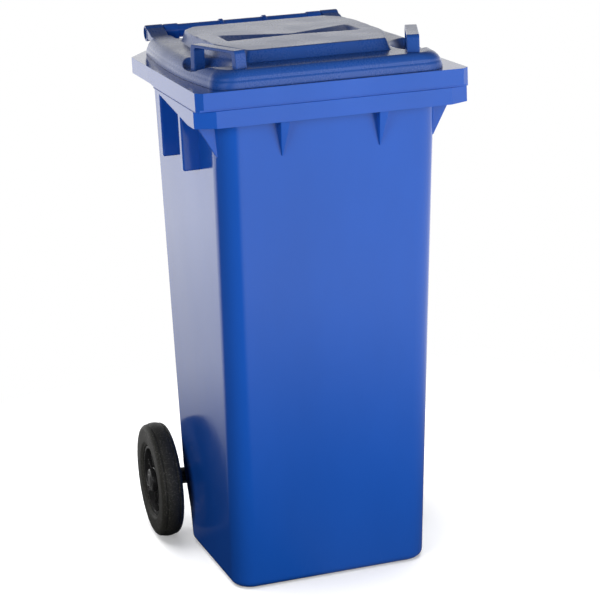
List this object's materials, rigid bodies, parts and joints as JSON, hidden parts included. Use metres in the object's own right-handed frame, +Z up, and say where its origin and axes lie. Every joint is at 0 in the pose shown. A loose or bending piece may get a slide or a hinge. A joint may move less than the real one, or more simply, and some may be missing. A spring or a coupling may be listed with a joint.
{
  "type": "wheelie bin",
  "caption": "Tapered two-wheeled plastic bin with a grooved lifting rim, a hinged lid with two bridge handles, a rear push bar and rubber-tyred wheels on a steel axle.",
  "frame": {"origin": "on the floor under the middle of the bin's bounding box", "axes": "+Z up, the bin's front (lid handles and deep lifting rim) faces -Y, the push bar and wheels are at +Y, +X to the right seen from the front"},
  "size_m": [0.494, 0.528, 0.93],
  "materials": {
    "body_plastic": "satin moulded blue polyethylene",
    "lid_plastic": "satin moulded blue polyethylene",
    "tyre_rubber": "solid black rubber",
    "wheel_plastic": "moulded black plastic",
    "bush_plastic": "plain dark nylon",
    "zinc_steel": "zinc plated steel"
  },
  "bodies": {
    "bin": {"body_shell": "body_plastic", "hinge_pin_left": "lid_plastic", "hinge_pin_right": "lid_plastic", "axle": "zinc_steel", "axle_sleeve_left": "wheel_plastic", "axle_sleeve_right": "wheel_plastic", "retaining_ring_left": "zinc_steel", "retaining_ring_right": "zinc_steel"},
    "lid": {"lid": "lid_plastic"},
    "wheel_left": {"tyre_left": "tyre_rubber", "wheel_rim_left": "wheel_plastic", "wheel_bush_left": "bush_plastic", "hub_cap_left": "wheel_plastic", "rim_rivet_left_1": "zinc_steel", "rim_rivet_left_2": "zinc_steel", "rim_rivet_left_3": "zinc_steel", "rim_rivet_left_4": "zinc_steel"},
    "wheel_right": {"tyre_right": "tyre_rubber", "wheel_rim_right": "wheel_plastic", "wheel_bush_right": "bush_plastic", "hub_cap_right": "wheel_plastic", "rim_rivet_right_1": "zinc_steel", "rim_rivet_right_2": "zinc_steel", "rim_rivet_right_3": "zinc_steel", "rim_rivet_right_4": "zinc_steel"}
  },
  "joints": [
    {"name": "lid_hinge", "type": "hinge", "parent": "bin", "child": "lid", "pos_m": [0, 0.2475, 0.903], "axis": [-1, 0, 0], "range_deg": [0, 270]},
    {"name": "wheel_left_spin", "type": "hinge", "parent": "bin", "child": "wheel_left", "pos_m": [-0.226, 0.162, 0.104], "axis": [1, 0, 0], "continuous": true},
    {"name": "wheel_right_spin", "type": "hinge", "parent": "bin", "child": "wheel_right", "pos_m": [0.226, 0.162, 0.104], "axis": [1, 0, 0], "continuous": true}
  ]
}
